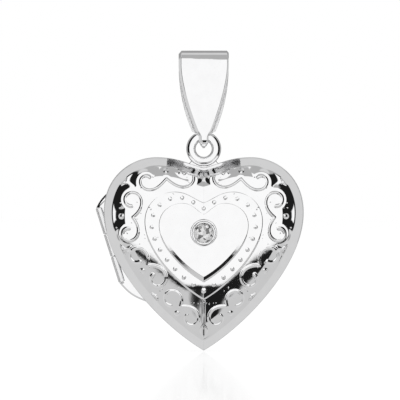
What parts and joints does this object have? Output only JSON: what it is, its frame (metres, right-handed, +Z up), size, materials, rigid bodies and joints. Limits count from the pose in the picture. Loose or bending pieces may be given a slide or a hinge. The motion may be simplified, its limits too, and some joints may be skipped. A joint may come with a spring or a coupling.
{
  "type": "heart locket",
  "caption": "Engraved heart locket on a tapered folded bail, with a small round clear stone and hinged halves that hold photos.",
  "frame": {"origin": "where the chain bears: the inside top of the bail's fold, in the plane where the two halves meet", "axes": "+X right as seen from the engraved front, +Y out of the plain back, +Z up along the bail; the engraved front faces -Y"},
  "size_m": [0.0208, 0.0054, 0.0301],
  "materials": {
    "polished_silver": "mirror polished, rhodium plated",
    "pin_silver": "drawn wire",
    "clear_sheet": "clear acetate",
    "clear_stone": "faceted and polished"
  },
  "bodies": {
    "bail": {"bail": "polished_silver"},
    "back_half": {"eyelet": "polished_silver", "back_shell": "polished_silver", "back_inner_rim": "polished_silver", "back_photo_window": "clear_sheet", "back_photo_frame": "polished_silver", "hinge_knuckle_upper": "polished_silver", "hinge_knuckle_lower": "polished_silver", "hinge_wing_upper": "polished_silver", "hinge_wing_lower": "polished_silver", "hinge_pin": "pin_silver"},
    "front_half": {"front_shell": "polished_silver", "front_inner_rim": "polished_silver", "front_photo_window": "clear_sheet", "front_photo_frame": "polished_silver", "hinge_knuckle_middle": "polished_silver", "stone_setting": "polished_silver", "stone": "clear_stone"}
  },
  "joints": [
    {"name": "locket_swing", "type": "hinge", "parent": "bail", "child": "back_half", "pos_m": [0, 0, -0.0082], "axis": [1, 0, 0], "range_deg": [-65, 65]},
    {"name": "cover_hinge", "type": "hinge", "parent": "back_half", "child": "front_half", "pos_m": [-0.00934, 0, -0.01908], "axis": [0.2993, 0, -0.9542], "range_deg": [0, 165]}
  ]
}
